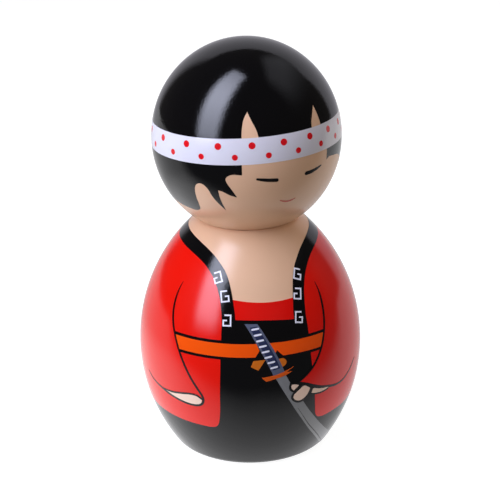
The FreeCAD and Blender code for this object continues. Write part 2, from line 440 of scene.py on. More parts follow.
def group_tree(name, kind, inputs, outputs):
    """A node group with named sockets; returns the tree with its input and output nodes."""
    tree = bpy.data.node_groups.new(name, kind)
    for socket, socket_kind, value in inputs:
        item = tree.interface.new_socket(socket, in_out="INPUT", socket_type=socket_kind)
        if value is not None:
            item.default_value = value
    for socket, socket_kind in outputs:
        tree.interface.new_socket(socket, in_out="OUTPUT", socket_type=socket_kind)
    return tree, tree.nodes.new("NodeGroupInput"), tree.nodes.new("NodeGroupOutput")


FLOAT, COLOUR, VECTOR = "NodeSocketFloat", "NodeSocketColor", "NodeSocketVector"
GEOMETRY, MATERIAL, COUNT = "NodeSocketGeometry", "NodeSocketMaterial", "NodeSocketInt"


# ------------------------------------------------------------------ shared finishes
def make_enamel_group():
    """Brushed and polished enamel: cloudy pigment, fine specks, orange peel and faint wood rings."""
    tree, source, sink = group_tree("brushed_enamel", "ShaderNodeTree", [
        ("Position", VECTOR, None),
        ("Pigment", COLOUR, (0.5, 0.5, 0.5, 1.0)),
        ("Cloud", FLOAT, 0.05),
        ("Speck", FLOAT, 0.02),
        ("Peel", FLOAT, 1.0),
        ("Gloss", FLOAT, 0.1),
    ], [("Pigment", COLOUR), ("Roughness", FLOAT), ("Relief", FLOAT)])
    place = source.outputs["Position"]
    cloud = noise(tree, place, 85.0, 3.0)
    speck = noise(tree, place, 4200.0, 1.0)
    peel = noise(tree, place, 1400.0, 1.0)
    rings = put(tree, "ShaderNodeTexWave", {
        "Vector": place, "Scale": 95.0, "Distortion": 2.5, "Detail": 1.0, "Detail Scale": 30.0,
    }, wave_type="RINGS", rings_direction="X")
    cloud_shift = calc(tree, "SUBTRACT", cloud, 0.5)
    speck_shift = calc(tree, "SUBTRACT", speck, 0.5)
    shade = calc(tree, "MULTIPLY_ADD", cloud_shift, source.outputs["Cloud"], 1.0)
    shade = calc(tree, "MULTIPLY_ADD", speck_shift, source.outputs["Speck"], shade)
    tree.links.new(scaled(tree, source.outputs["Pigment"], shade), sink.inputs["Pigment"])
    rough = calc(tree, "MULTIPLY_ADD", cloud_shift, 0.05, source.outputs["Gloss"])
    tree.links.new(rough, sink.inputs["Roughness"])
    relief = calc(tree, "MULTIPLY", peel, source.outputs["Peel"])
    relief = calc(tree, "MULTIPLY_ADD", rings.outputs["Fac"], 0.25, relief)
    tree.links.new(relief, sink.inputs["Relief"])
    return tree


def make_dust_group():
    """Dust that settles on upward faces, and rubbing round the foot."""
    tree, source, sink = group_tree("dust_and_rubbing", "ShaderNodeTree", [
        ("Position", VECTOR, None),
        ("Facing", VECTOR, None),
        ("Dust", FLOAT, 0.05),
        ("Foot Height", FLOAT, 0.003),
    ], [("Dust", FLOAT), ("Rubbing", FLOAT)])
    place = source.outputs["Position"]
    facing_up = split_xyz(tree, source.outputs["Facing"])["Z"]
    upward = calc(tree, "SMOOTH_MIN", calc(tree, "MAXIMUM", facing_up, 0.0), 1.0, 0.1)
    motes = put(tree, "ShaderNodeTexVoronoi", {"Vector": place, "Scale": 650.0})
    mote = between(tree, motes.outputs["Distance"], 0.10, 0.04, 0.0, 1.0)
    patch = between(tree, noise(tree, place, 60.0, 2.0), 0.5, 0.75, 0.0, 1.0)
    dust = calc(tree, "MULTIPLY", mote, patch)
    dust = calc(tree, "MULTIPLY", dust, upward)
    dust = calc(tree, "MULTIPLY", dust, source.outputs["Dust"])
    tree.links.new(dust, sink.inputs["Dust"])
    low = calc(tree, "DIVIDE", split_xyz(tree, place)["Z"], source.outputs["Foot Height"])
    low = calc(tree, "SUBTRACT", 1.0, calc(tree, "MINIMUM", low, 1.0))
    scuff = noise(tree, place, 900.0, 3.0)
    tree.links.new(calc(tree, "MULTIPLY", low, scuff), sink.inputs["Rubbing"])
    return tree


def make_fibre_group():
    """Pressed felt: tangled short fibres."""
    tree, source, sink = group_tree("pressed_fibres", "ShaderNodeTree", [
        ("Position", VECTOR, None),
        ("Pigment", COLOUR, (0.5, 0.5, 0.5, 1.0)),
    ], [("Pigment", COLOUR), ("Relief", FLOAT)])
    place = source.outputs["Position"]
    tangle = noise(tree, place, 2600.0, 5.0, distortion=1.6)
    matted = noise(tree, place, 260.0, 2.0)
    shade = calc(tree, "MULTIPLY_ADD", tangle, 0.8, 0.35)
    shade = calc(tree, "MULTIPLY_ADD", matted, 0.3, shade)
    tree.links.new(scaled(tree, source.outputs["Pigment"], shade), sink.inputs["Pigment"])
    tree.links.new(tangle, sink.inputs["Relief"])
    return tree


def make_grain_group():
    """Straight-grained wood: growth rings stretched along the lathe axis, with short pores."""
    tree, source, sink = group_tree("turned_grain", "ShaderNodeTree", [
        ("Position", VECTOR, None),
        ("Light Wood", COLOUR, (0.7, 0.5, 0.3, 1.0)),
        ("Dark Wood", COLOUR, (0.5, 0.33, 0.18, 1.0)),
    ], [("Pigment", COLOUR), ("Relief", FLOAT)])
    stretch = vector_calc(tree, "MULTIPLY", source.outputs["Position"], (1.0, 1.0, 0.12))
    rings = put(tree, "ShaderNodeTexWave", {
        "Vector": stretch, "Scale": 160.0, "Distortion": 3.0, "Detail": 2.0, "Detail Scale": 60.0,
    }, wave_type="BANDS", bands_direction="X")
    pores = noise(tree, stretch, 3800.0, 3.0)
    wood = mixed(tree, rings.outputs["Fac"], source.outputs["Light Wood"], source.outputs["Dark Wood"])
    tree.links.new(wood, sink.inputs["Pigment"])
    relief = calc(tree, "MULTIPLY_ADD", pores, 0.6, rings.outputs["Fac"])
    tree.links.new(relief, sink.inputs["Relief"])
    return tree


DUST_COLOUR = (0.55, 0.53, 0.5, 1.0)
ENAMEL = make_enamel_group()
DUST = make_dust_group()
FIBRES = make_fibre_group()
GRAIN = make_grain_group()


def blank_material(name):
    material = bpy.data.materials.new(name)
    material.use_nodes = True
    tree = material.node_tree
    place = put(tree, "ShaderNodeTexCoord").outputs["Object"]
    return material, tree, place, tree.nodes["Principled BSDF"]


def use_group(tree, group, feeds):
    return put(tree, "ShaderNodeGroup", feeds, node_tree=group)


def lacquer(name, pigment, cloud=0.05, gloss=0.10, relief=0.000006):
    """Enamel under a clear polished top coat; relief is the height of its grain in metres."""
    material, tree, place, shader = blank_material(name)
    enamel = use_group(tree, ENAMEL, {
        "Position": place, "Pigment": (*pigment, 1.0), "Cloud": cloud, "Gloss": gloss})
    facing = put(tree, "ShaderNodeNewGeometry").outputs["Normal"]
    settled = use_group(tree, DUST, {
        "Position": place, "Facing": facing, "Foot Height": 3.5 * MM})
    dusted = mixed(tree, settled.outputs["Dust"], enamel.outputs["Pigment"], DUST_COLOUR)
    tree.links.new(dusted, shader.inputs["Base Color"])
    rough = calc(tree, "MULTIPLY_ADD", settled.outputs["Rubbing"], 0.35, enamel.outputs["Roughness"])
    tree.links.new(rough, shader.inputs["Roughness"])
    clear = calc(tree, "MULTIPLY_ADD", settled.outputs["Rubbing"], -0.1, 0.12)
    tree.links.new(clear, shader.inputs["Coat Weight"])
    roughened(tree, shader, enamel.outputs["Relief"], relief)
    shader.inputs["Coat Roughness"].default_value = 0.03
    return material


def felt(name, pigment):
    material, tree, place, shader = blank_material(name)
    fibres = use_group(tree, FIBRES, {"Position": place, "Pigment": (*pigment, 1.0)})
    tree.links.new(fibres.outputs["Pigment"], shader.inputs["Base Color"])
    roughened(tree, shader, fibres.outputs["Relief"], 0.2 * MM)
    shader.inputs["Roughness"].default_value = 0.95
    shader.inputs["Sheen Weight"].default_value = 0.4
    return material


def bare_wood(name, light, dark):
    material, tree, place, shader = blank_material(name)
    grain = use_group(tree, GRAIN, {
        "Position": place, "Light Wood": (*light, 1.0), "Dark Wood": (*dark, 1.0)})
    tree.links.new(grain.outputs["Pigment"], shader.inputs["Base Color"])
    roughened(tree, shader, grain.outputs["Relief"], 0.04 * MM)
    shader.inputs["Roughness"].default_value = 0.6
    return material


def zinc_steel(name):
    material, tree, place, shader = blank_material(name)
    swirl = noise(tree, place, 900.0, 4.0)
    tree.links.new(calc(tree, "MULTIPLY_ADD", swirl, 0.25, 0.2), shader.inputs["Roughness"])
    tint = mixed(tree, swirl, (0.5, 0.5, 0.52, 1.0), (0.68, 0.68, 0.7, 1.0))
    tree.links.new(tint, shader.inputs["Base Color"])
    roughened(tree, shader, swirl, 0.02 * MM)
    shader.inputs["Metallic"].default_value = 1.0
    return material


BLACK = lacquer("black_enamel", (0.0016, 0.0015, 0.0020), cloud=0.3, gloss=0.085, relief=0.00002)
RED = lacquer("coat_red_enamel", (0.82, 0.006, 0.001), gloss=0.17)
SHIRT_RED = lacquer("shirt_red_enamel", (0.76, 0.003, 0.001), gloss=0.16)
SKIN = lacquer("skin_enamel", (0.81, 0.505, 0.32), gloss=0.26)
HAND = lacquer("hand_enamel", (0.92, 0.67, 0.53), gloss=0.14)
ORANGE = lacquer("belt_orange_enamel", (0.93, 0.09, 0.001), gloss=0.13)
KNOT_ORANGE = lacquer("knot_orange_enamel", (0.62, 0.15, 0.01), gloss=0.13)
GUARD_ORANGE = lacquer("guard_orange_enamel", (0.70, 0.10, 0.008), gloss=0.13)
WHITE = lacquer("band_white_enamel", (0.77, 0.75, 0.83), gloss=0.13)
BRIGHT_WHITE = lacquer("line_white_enamel", (0.85, 0.85, 0.95), gloss=0.13)
DOT_RED = lacquer("dot_red_enamel", (0.76, 0.006, 0.012), gloss=0.13)
LIP = lacquer("lip_enamel", (0.60, 0.12, 0.08), gloss=0.14)
STEEL_BLUE = lacquer("hilt_edge_enamel", (0.10, 0.115, 0.175), gloss=0.1)
NAVY = lacquer("hilt_cord_enamel", (0.022, 0.030, 0.080), gloss=0.1)
SCABBARD = lacquer("scabbard_grey_enamel", (0.23, 0.235, 0.245), gloss=0.12)
GROOVE = lacquer("scabbard_line_enamel", (0.03, 0.03, 0.034), gloss=0.1)
PEACH = lacquer("neckline_enamel", (0.86, 0.52, 0.34), gloss=0.14)


# ------------------------------------------------------------------ the two turned forms
def finish_tree(tree, geometry, materials, sink):
    """Smooth but for hard edges, whole, and coloured: how every tree here ends."""
    smooth = put(tree, "GeometryNodeSetShadeSmooth", {"Geometry": geometry})
    angle = put(tree, "GeometryNodeInputMeshEdgeAngle").outputs["Unsigned Angle"]
    hard = put(tree, "FunctionNodeCompare", {0: angle, 1: math.radians(35.0)}, operation="GREATER_THAN")
    edged = put(tree, "GeometryNodeSetShadeSmooth", {
        "Geometry": smooth.outputs[0], "Selection": hard.outputs[0], "Shade Smooth": False,
    }, domain="EDGE")
    result = put(tree, "GeometryNodeRealizeInstances", {"Geometry": edged.outputs[0]}).outputs[0]
    for material, selection in materials:
        feeds = {"Geometry": result, "Material": material}
        if selection is not None:
            feeds["Selection"] = selection
        result = put(tree, "GeometryNodeSetMaterial", feeds).outputs[0]
    tree.links.new(result, sink.inputs[0])


def make_lathe_tree():
    """Spins a half profile, a line of (radius, height) points, into a closed turned form."""
    tree, source, sink = group_tree("spin_on_lathe", "GeometryNodeTree", [
        ("Profile", GEOMETRY, None),
        ("Steps Round", COUNT, 180),
        ("Lower Enamel", MATERIAL, None),
        ("Upper Enamel", MATERIAL, None),
        ("Change Height", FLOAT, 0.0),
    ], [("Turned Form", GEOMETRY)])
    profile = source.outputs["Profile"]
    rings = put(tree, "GeometryNodeAttributeDomainSize", {"Geometry": profile}).outputs["Point Count"]
    grid = put(tree, "GeometryNodeMeshGrid", {
        "Vertices X": rings, "Vertices Y": source.outputs["Steps Round"], "Size X": 1.0, "Size Y": 1.0})
    place = position(tree)
    where = split_xyz(tree, place)
    along = calc(tree, "ADD", where["X"], 0.5)
    step = calc(tree, "ROUND", calc(tree, "MULTIPLY", along, calc(tree, "SUBTRACT", rings, 1.0)))
    turn = calc(tree, "MULTIPLY", calc(tree, "ADD", where["Y"], 0.5), 2 * math.pi)
    sample = put(tree, "GeometryNodeSampleIndex", {
        "Geometry": profile, "Value": place, "Index": step}, data_type="FLOAT_VECTOR")
    point = split_xyz(tree, sample.outputs[0])
    sideways = calc(tree, "MULTIPLY", point["X"], calc(tree, "SINE", turn))
    forwards = calc(tree, "MULTIPLY", point["X"], calc(tree, "COSINE", turn))
    spun = join_xyz(tree, sideways, calc(tree, "MULTIPLY", forwards, -1.0), point["Z"])
    form = put(tree, "GeometryNodeSetPosition", {"Geometry": grid.outputs["Mesh"], "Position": spun})
    closed = put(tree, "GeometryNodeMergeByDistance", {"Geometry": form.outputs[0], "Distance": 1e-6})
    upper = put(tree, "FunctionNodeCompare", {
        0: where["Z"], 1: source.outputs["Change Height"]}, operation="GREATER_THAN")
    colours = [(source.outputs["Lower Enamel"], None), (source.outputs["Upper Enamel"], upper.outputs[0])]
    finish_tree(tree, closed.outputs[0], colours, sink)
    return tree


def grown(name, guide, tree, values):
    """Run a Geometry Nodes tree on a guide mesh and keep the result as a plain mesh piece."""
    carrier = placed(f"{name}_guide", guide)
    modifier = carrier.modifiers.new(name, "NODES")
    modifier.node_group = tree
    for item in tree.interface.items_tree:
        if item.item_type == "SOCKET" and item.in_out == "INPUT" and item.name in values:
            modifier[item.identifier] = values[item.name]
    graph = bpy.context.evaluated_depsgraph_get()
    mesh = bpy.data.meshes.new_from_object(carrier.evaluated_get(graph))
    mesh.name = name
    carrier.modifiers.remove(modifier)
    bpy.data.objects.remove(carrier)
    shape = bmesh.new()
    shape.from_mesh(mesh)
    bmesh.ops.recalc_face_normals(shape, faces=shape.faces)
    shape.to_mesh(mesh)
    shape.free()
    return placed(name, mesh)


def guide_mesh(name, points, joined=True, spins=None):
    """Guide points for a tree, in millimetres, joined into a line or left loose."""
    mesh = bpy.data.meshes.new(name)
    edges = [(i, i + 1) for i in range(len(points) - 1)] if joined else []
    mesh.from_pydata([tuple(value * MM for value in point) for point in points], edges, [])
    if spins:
        attribute = mesh.attributes.new("spin", "FLOAT", "POINT")
        attribute.data.foreach_set("value", [math.radians(spin) for spin in spins])
    return mesh


def rounded(corner, arriving, leaving, size, count=7):
    """An even curve that takes a corner off a profile, between two unit directions."""
    corner, arriving, leaving = np.array(corner), np.array(arriving), np.array(leaving)
    start = corner - arriving * size
    end = corner + leaving * size
    t = np.linspace(0.0, 1.0, count)[:, None]
    curve = (1 - t) ** 2 * start + 2 * t * (1 - t) * corner + t ** 2 * end
    return [tuple(point) for point in curve]


def body_profile():
    pad_radius = PAD_HIGH.x / MM + PAD_ROOM
    pad_top = PAD_HIGH.z / MM
    points = [(0.0, pad_top), (pad_radius, pad_top), (pad_radius, FOOT)]
    points += rounded(flank_point(flank_sweep(FOOT)), (1.0, 0.0), (0.5, 0.866), 0.8)
    for sweep in np.linspace(flank_sweep(FOOT + 0.75), flank_sweep(NECK_SEAT - 0.3), 110):
        points.append(flank_point(sweep))
    points += rounded(flank_point(flank_sweep(NECK_SEAT)), (-0.65, 0.76), (-1.0, 0.0), 0.35)
    floor = NECK_SEAT - COLLAR_DEPTH
    points += [(COLLAR_RADIUS, NECK_SEAT), (COLLAR_RADIUS, floor), (0.0, floor)]
    return [(radius, 0.0, height) for radius, height in points]


def head_profile():
    points = [(0.0, HEAD_SEAT)]
    points += rounded(egg_point(egg_sweep(HEAD_SEAT)), (1.0, 0.0), (0.84, 0.54), 0.35)
    for sweep in np.linspace(egg_sweep(HEAD_SEAT + 0.2), 0.0, 120):
        points.append(egg_point(sweep))
    return [(radius, 0.0, height) for radius, height in points]


LATHE = make_lathe_tree()


def turned_form(name, profile, lower, upper, node, body):
    guide = guide_mesh(f"{name}_profile", profile)
    piece = grown(name, guide, LATHE, {
        "Steps Round": STEPS_ROUND, "Lower Enamel": lower, "Upper Enamel": upper,
        "Change Height": SKIN_HEIGHT * MM})
    settle(piece, body)
    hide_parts(node)


turned_form("lacquered_body", body_profile(), BLACK, SKIN, "turned_body", "body")
turned_form("lacquered_head", head_profile(), SKIN, SKIN, "turned_head", "head")


# ------------------------------------------------------------------ motifs that repeat
SURFACE_INPUTS = [
    ("Ring Radius", FLOAT, 0.0),
    ("Arc Width", FLOAT, 0.0289),
    ("Arc Height", FLOAT, 0.0299),
    ("Middle Height", FLOAT, 0.1),
]


def surface_values(turning):
    """The sizes that describe a turned flank to a tree: a ring and the arc turned round it."""
    if turning is EGG:
        sizes = (0.0, EGG_RADIUS, EGG_HALF_HEIGHT, EGG_CENTRE)
    else:
        sizes = (FLANK_CENTRE, FLANK_ARC, FLANK_ARC, WIDEST_HEIGHT)
    return {item[0]: size * MM for item, size in zip(SURFACE_INPUTS, sizes)}


def make_surface_group():
    """The nearest point of the turned surface, level with a place, and the way out of the wood."""
    tree, source, sink = group_tree("turned_surface", "GeometryNodeTree", [
        ("Place", VECTOR, None), *SURFACE_INPUTS,
    ], [("Foot", VECTOR), ("Out", VECTOR)])
    place = split_xyz(tree, source.outputs["Place"])
    turn = calc(tree, "ARCTAN2", place["X"], calc(tree, "MULTIPLY", place["Y"], -1.0))
    rise = calc(tree, "SUBTRACT", place["Z"], source.outputs["Middle Height"])
    rise = calc(tree, "DIVIDE", rise, source.outputs["Arc Height"])
    width = calc(tree, "SQRT", calc(tree, "SUBTRACT", 1.0, calc(tree, "MULTIPLY", rise, rise)))
    radius = calc(tree, "MULTIPLY_ADD", width, source.outputs["Arc Width"], source.outputs["Ring Radius"])
    sine = calc(tree, "SINE", turn)
    cosine = calc(tree, "MULTIPLY", calc(tree, "COSINE", turn), -1.0)
    foot = join_xyz(
        tree, calc(tree, "MULTIPLY", radius, sine), calc(tree, "MULTIPLY", radius, cosine), place["Z"])
    outward = calc(tree, "DIVIDE", width, source.outputs["Arc Width"])
    upward = calc(tree, "DIVIDE", rise, source.outputs["Arc Height"])
    out = join_xyz(
        tree, calc(tree, "MULTIPLY", outward, sine), calc(tree, "MULTIPLY", outward, cosine), upward)
    out = vector_calc(tree, "NORMALIZE", out)
    tree.links.new(foot, sink.inputs["Foot"])
    tree.links.new(out, sink.inputs["Out"])
    return tree


SURFACE = make_surface_group()


def surface_at(tree, source, place):
    """Put the surface group in a tree, fed with that tree's own sizes."""
    node = put(tree, "GeometryNodeGroup", node_tree=SURFACE)
    tree.links.new(place, node.inputs["Place"])
    for name, _, _ in SURFACE_INPUTS:
        tree.links.new(source.outputs[name], node.inputs[name])
    return node.outputs["Foot"], node.outputs["Out"]


def shifted(tree, foot, out, distance):
    return vector_calc(tree, "ADD", foot, scaled(tree, out, distance))


def make_press_group():
    """Set a flat motif at every point, press it onto the turned surface and give it thickness."""
    tree, source, sink = group_tree("press_motif", "GeometryNodeTree", [
        ("Points", GEOMETRY, None),
        ("Motif", GEOMETRY, None),
        ("Spin", FLOAT, 0.0),
        ("Lift", FLOAT, 0.0001),
        ("Buried", FLOAT, 0.0001),
        ("Enamel", MATERIAL, None),
        *SURFACE_INPUTS,
    ], [("Film", GEOMETRY)])
    foot, out = surface_at(tree, source, position(tree))
    frame_turn = put(tree, "FunctionNodeAxesToRotation", {0: out, 1: (0.0, 0.0, 1.0)},
                     primary_axis="Z", secondary_axis="Y")
    spin = put(tree, "FunctionNodeEulerToRotation", {0: join_xyz(tree, 0.0, 0.0, source.outputs["Spin"])})
    turned = put(tree, "FunctionNodeRotateRotation", {0: frame_turn.outputs[0], 1: spin.outputs[0]},
                 rotation_space="LOCAL")
    on_wood = put(tree, "GeometryNodeSetPosition", {"Geometry": source.outputs["Points"], "Position": foot})
    set_out = put(tree, "GeometryNodeInstanceOnPoints", {
        "Points": on_wood.outputs[0], "Instance": source.outputs["Motif"], "Rotation": turned.outputs[0]})
    sheet = put(tree, "GeometryNodeRealizeInstances", {"Geometry": set_out.outputs[0]})
    depth = calc(tree, "MULTIPLY", source.outputs["Buried"], -1.0)
    under = put(tree, "GeometryNodeSetPosition", {
        "Geometry": sheet.outputs[0], "Position": shifted(tree, foot, out, depth)})
    raised = put(tree, "GeometryNodeExtrudeMesh", {
        "Mesh": under.outputs[0], "Offset": out, "Offset Scale": 0.0001, "Individual": False})
    top = put(tree, "GeometryNodeSetPosition", {
        "Geometry": raised.outputs["Mesh"], "Selection": raised.outputs["Top"],
        "Position": shifted(tree, foot, out, source.outputs["Lift"])})
    back = put(tree, "GeometryNodeFlipFaces", {"Mesh": under.outputs[0]})
    both = put(tree, "GeometryNodeJoinGeometry")
    tree.links.new(back.outputs[0], both.inputs[0])
    tree.links.new(top.outputs[0], both.inputs[0])
    closed = put(tree, "GeometryNodeMergeByDistance", {"Geometry": both.outputs[0], "Distance": 1e-7})
    finish_tree(tree, closed.outputs[0], [(source.outputs["Enamel"], None)], sink)
    return tree


PRESS = make_press_group()
PRESSED_INPUTS = [
    ("Lift", FLOAT, 0.0001), ("Buried", FLOAT, 0.0001), ("Enamel", MATERIAL, None), *SURFACE_INPUTS]


def press(tree, source, sink, points, motif, spin):
    node = put(tree, "GeometryNodeGroup", {"Points": points, "Motif": motif, "Spin": spin},
               node_tree=PRESS)
    for name, _, _ in PRESSED_INPUTS:
        tree.links.new(source.outputs[name], node.inputs[name])
    tree.links.new(node.outputs[0], sink.inputs[0])


def pressed_values(turning, coat, material):
    lift = (FIRST_COAT + coat * NEXT_COAT) * MM
    return {"Lift": lift, "Buried": BURIED * MM, "Enamel": material, **surface_values(turning)}


def make_dot_tree():
    """A row of round dots, evenly spaced round the head and sloping with the band."""
    tree, source, sink = group_tree("row_of_dots", "GeometryNodeTree", [
        ("Guide", GEOMETRY, None),
        ("Dots", COUNT, 19),
        ("Dot Radius", FLOAT, 0.0008),
        ("First Dot", FLOAT, 0.0),
        ("Drift", FLOAT, 0.0),
        ("Row Height", FLOAT, 0.1),
        ("Slope", FLOAT, 0.0),
        ("Lean", FLOAT, 0.0),
        *PRESSED_INPUTS,
    ], [("Dots", GEOMETRY)])
    line = put(tree, "GeometryNodeMeshLine", {
        "Count": source.outputs["Dots"], "Offset": (0.0, 0.0, 0.0)})
    index = put(tree, "GeometryNodeInputIndex").outputs[0]
    pitch = calc(tree, "DIVIDE", 2 * math.pi, source.outputs["Dots"])
    turn = calc(tree, "MULTIPLY_ADD", index, pitch, source.outputs["First Dot"])
    off_front = calc(tree, "SUBTRACT", calc(tree, "COSINE", turn), 1.0)
    turn = calc(tree, "MULTIPLY_ADD", off_front, source.outputs["Drift"], turn)
    radius = source.outputs["Arc Width"]
    climb = calc(tree, "SINE", calc(tree, "ADD", turn, source.outputs["Lean"]))
    climb = calc(tree, "MULTIPLY", calc(tree, "MULTIPLY", climb, radius), source.outputs["Slope"])
    sideways = calc(tree, "MULTIPLY", radius, calc(tree, "SINE", turn))
    forwards = calc(tree, "MULTIPLY", radius, calc(tree, "COSINE", turn))
    spot = join_xyz(tree, sideways, calc(tree, "MULTIPLY", forwards, -1.0),
                    calc(tree, "ADD", source.outputs["Row Height"], climb))
    points = put(tree, "GeometryNodeSetPosition", {"Geometry": line.outputs[0], "Position": spot})
    dot = put(tree, "GeometryNodeMeshCircle", {
        "Vertices": 28, "Radius": source.outputs["Dot Radius"]}, fill_type="TRIANGLE_FAN")
    press(tree, source, sink, points.outputs[0], dot.outputs[0], 0.0)
    return tree


def make_scroll_tree():
    """Square scrolls: one ribbon of five bars that keeps turning the same way, at every guide point."""
    tree, source, sink = group_tree("square_scrolls", "GeometryNodeTree", [
        ("Guide", GEOMETRY, None),
        ("Scroll Width", FLOAT, 0.0022),
        ("Scroll Height", FLOAT, 0.0031),
        ("Stroke", FLOAT, 0.0005),
        ("Opening", FLOAT, 0.0004),
        ("Hand", FLOAT, 1.0),
        *PRESSED_INPUTS,
    ], [("Scrolls", GEOMETRY)])
    bars = 5
    grid = put(tree, "GeometryNodeMeshGrid", {
        "Size X": 1.0, "Size Y": 1.0, "Vertices X": bars + 1, "Vertices Y": 2}).outputs["Mesh"]
    where = split_xyz(tree, position(tree))
    corner = calc(tree, "ROUND", calc(tree, "MULTIPLY_ADD", where["X"], float(bars), bars / 2))
    side = calc(tree, "SIGN", where["Y"])

    def heading(number):
        turn = calc(tree, "MULTIPLY_ADD", number, math.pi / 2, math.pi)
        return join_xyz(tree, calc(tree, "COSINE", turn), calc(tree, "SINE", turn), 0.0)

    here = heading(corner)
    after = heading(calc(tree, "ADD", corner, 1.0))
    upright = calc(tree, "FLOORED_MODULO", corner, 2.0)
    difference = calc(tree, "SUBTRACT", source.outputs["Scroll Height"], source.outputs["Scroll Width"])
    length = calc(tree, "MULTIPLY_ADD", upright, difference, source.outputs["Scroll Width"])
    inner = calc(tree, "GREATER_THAN", corner, 2.5)
    length = calc(tree, "MULTIPLY", length, calc(tree, "MULTIPLY_ADD", inner, -0.5, 1.0))
    is_first = calc(tree, "LESS_THAN", corner, 0.5)
    shortened = calc(tree, "MULTIPLY", is_first, source.outputs["Opening"])
    length = calc(tree, "SUBTRACT", length, shortened)
    row = put(tree, "GeometryNodeAccumulateField", {
        0: scaled(tree, here, length), "Group Index": calc(tree, "GREATER_THAN", side, 0.0),
    }, data_type="FLOAT_VECTOR")
    half_width = calc(tree, "MULTIPLY", source.outputs["Scroll Width"], 0.5)
    start = join_xyz(
        tree, calc(tree, "SUBTRACT", half_width, source.outputs["Opening"]),
        calc(tree, "MULTIPLY", source.outputs["Scroll Height"], 0.5), 0.0)
    not_first = calc(tree, "SUBTRACT", 1.0, is_first)
    not_last = calc(tree, "LESS_THAN", corner, bars - 0.5)
    mitre = vector_calc(tree, "ADD", scaled(tree, here, not_first), scaled(tree, after, not_last))
    reach = calc(tree, "MULTIPLY", calc(tree, "MULTIPLY", source.outputs["Stroke"], 0.5), side)
    spot = vector_calc(tree, "ADD", start, row.outputs["Trailing"])
    spot = vector_calc(tree, "ADD", spot, scaled(tree, mitre, reach))
    spot = vector_calc(tree, "MULTIPLY", spot, join_xyz(tree, source.outputs["Hand"], 1.0, 1.0))
    ribbon = put(tree, "GeometryNodeSetPosition", {"Geometry": grid, "Position": spot})
    turned_over = calc(tree, "LESS_THAN", source.outputs["Hand"], 0.0)
    facing = put(tree, "GeometryNodeFlipFaces", {"Mesh": ribbon.outputs[0], "Selection": turned_over})
    fine = put(tree, "GeometryNodeSubdivideMesh", {"Mesh": facing.outputs[0], "Level": 3})
    spin = put(tree, "GeometryNodeInputNamedAttribute", {"Name": "spin"}, data_type="FLOAT")
    press(tree, source, sink, source.outputs["Guide"], fine.outputs[0], spin.outputs[0])
    return tree


def make_bar_tree():
    """Short bars with softened ends, evenly spaced along a guide line."""
    tree, source, sink = group_tree("bars_along_line", "GeometryNodeTree", [
        ("Guide", GEOMETRY, None),
        ("Bars", COUNT, 8),
        ("Bar Length", FLOAT, 0.0025),
        ("Bar Width", FLOAT, 0.0007),
        ("Spin", FLOAT, 0.0),
        *PRESSED_INPUTS,
    ], [("Bars", GEOMETRY)])
    line = put(tree, "GeometryNodeMeshToCurve", {0: source.outputs["Guide"]})
    even = put(tree, "GeometryNodeResampleCurve", {0: line.outputs[0], "Count": source.outputs["Bars"]})
    spots = put(tree, "GeometryNodeCurveToPoints", {0: even.outputs[0]}, mode="EVALUATED")
    grid = put(tree, "GeometryNodeMeshGrid", {
        "Size X": 1.0, "Size Y": 1.0, "Vertices X": 17, "Vertices Y": 5}).outputs["Mesh"]
    where = split_xyz(tree, position(tree))
    out = calc(tree, "POWER", calc(tree, "ABSOLUTE", calc(tree, "MULTIPLY", where["X"], 2.0)), 8.0)
    narrow = calc(tree, "MULTIPLY_ADD", out, -0.55, 1.0)
    across = calc(tree, "MULTIPLY", where["Y"], narrow)
    spot = join_xyz(
        tree, calc(tree, "MULTIPLY", where["X"], source.outputs["Bar Length"]),
        calc(tree, "MULTIPLY", across, source.outputs["Bar Width"]), 0.0)
    bar = put(tree, "GeometryNodeSetPosition", {"Geometry": grid, "Position": spot})
    press(tree, source, sink, spots.outputs["Points"], bar.outputs[0], source.outputs["Spin"])
    return tree


def on_surface(turning, places):
    """Guide points in millimetres at (angle, height) places."""
    angle = np.radians([place[0] for place in places])
    reach = turning.reach_of(np.array([place[1] for place in places]))
    points, _ = turning.place(angle, reach, 0.0)
    return points.tolist()


# ------------------------------------------------------------------ hair and face
def make_hair():
    """One black cap over the crown, with two partings, and fringe spikes at the right temple."""
    right_temple = [
        (-28.4, 103.0, "sharp"), (-28.4, 96.6, "sharp"), (-35.0, 96.6), (-38.0, 95.4), (-37.4, 94.0),
        (-35.2, 92.2), (-31.9, 89.4, "sharp"), (-36.1, 90.0), (-40.8, 91.2), (-43.3, 91.5, "sharp"),
        (-42.6, 88.5), (-40.4, 84.4, "sharp"), (-45.2, 87.3), (-47.8, 89.3), (-49.9, 91.6),
        (-52.5, 92.9), (-54.9, 93.1), (-57.4, 92.5), (-59.0, 91.1), (-59.8, 88.5), (-59.9, 85.5),
        (-60.8, 83.7), (-64.5, 82.8), (-74.0, 82.7),
    ]
    nape = [(angle, 83.2) for angle in range(-90, -271, -15)]
    left_temple = [
        (-288.0, 83.0), (-294.5, 84.6), (-298.5, 88.0), (-302.0, 91.8), (-308.0, 94.8), (-316.0, 96.8),
        (-323.4, 97.5), (-329.3, 97.8), (-331.6, 97.2, "sharp"), (-331.6, 103.0, "sharp"),
    ]
    around = [*right_temple, *nape, *left_temple, (-388.4, 103.0, "sharp")]
    cap = run_through([(point[0] + FACE_TURN, *point[1:]) for point in around], closed=False)[:-1]
    right_parting = shape((-11.1, 105.5, "sharp"), (-11.0, 109.6), (-9.8, 112.4), (-7.6, 114.3, "sharp"),
                          (-4.9, 111.7), (-2.6, 109.6), (-0.3, 105.5, "sharp"))
    left_parting = shape((33.6, 105.5, "sharp"), (34.4, 109.4), (36.9, 111.6), (40.1, 113.8, "sharp"),
                         (41.1, 111.5), (41.8, 109.4), (42.0, 105.5, "sharp"))
    film("hair", EGG, [cap], 0, BLACK, holes=[right_parting, left_parting])


